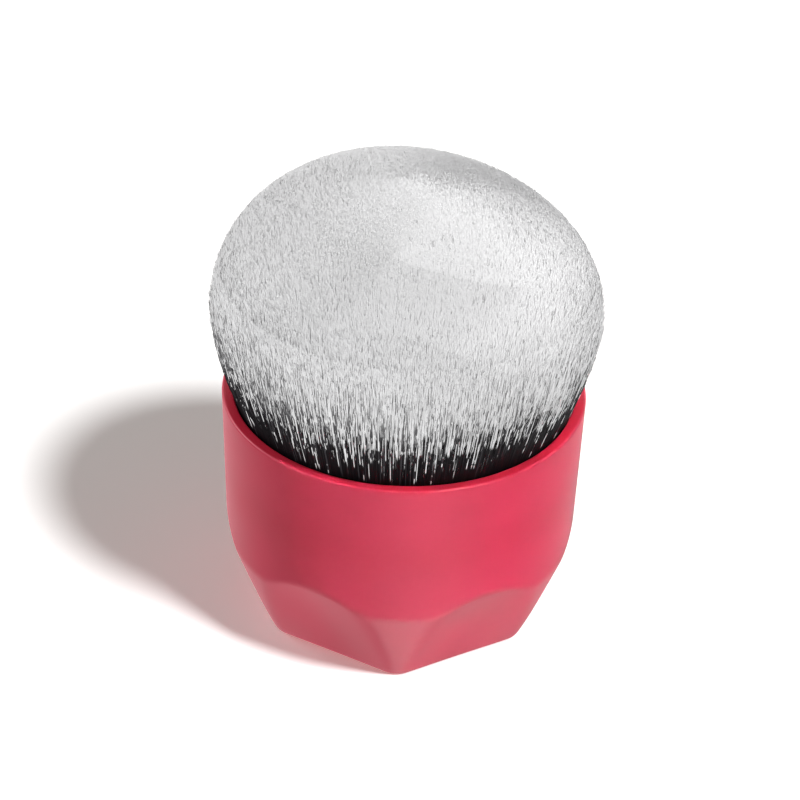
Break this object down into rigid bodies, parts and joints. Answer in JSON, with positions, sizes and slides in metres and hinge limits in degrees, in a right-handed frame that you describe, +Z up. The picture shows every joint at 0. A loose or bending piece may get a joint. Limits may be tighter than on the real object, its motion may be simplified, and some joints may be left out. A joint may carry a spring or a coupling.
{
  "type": "kabuki foundation brush",
  "caption": "Short foundation brush: a moulded cup handle with a faceted foot, and one dense domed knot of filaments that flares over its rim.",
  "frame": {"origin": "middle of the flat foot, on the surface that the brush stands on", "axes": "+Z up the brush's axis, with one corner of the six-sided foot towards -Y and the crown of the knot leaning down towards +X"},
  "size_m": [0.0516, 0.0516, 0.0651],
  "materials": {
    "coral_soft_touch": "soft-touch coat over moulded plastic, matt with a satin sheen",
    "drawn_aluminium": "plain drawn",
    "cast_resin": "cast, clear amber",
    "synthetic_filaments": "fine synthetic filaments, near black at the roots and white at the tips"
  },
  "bodies": {
    "root": {"handle_shell": "coral_soft_touch", "knot_cup": "drawn_aluminium", "resin_plug": "cast_resin", "filament_knot": "synthetic_filaments"}
  },
  "joints": []
}
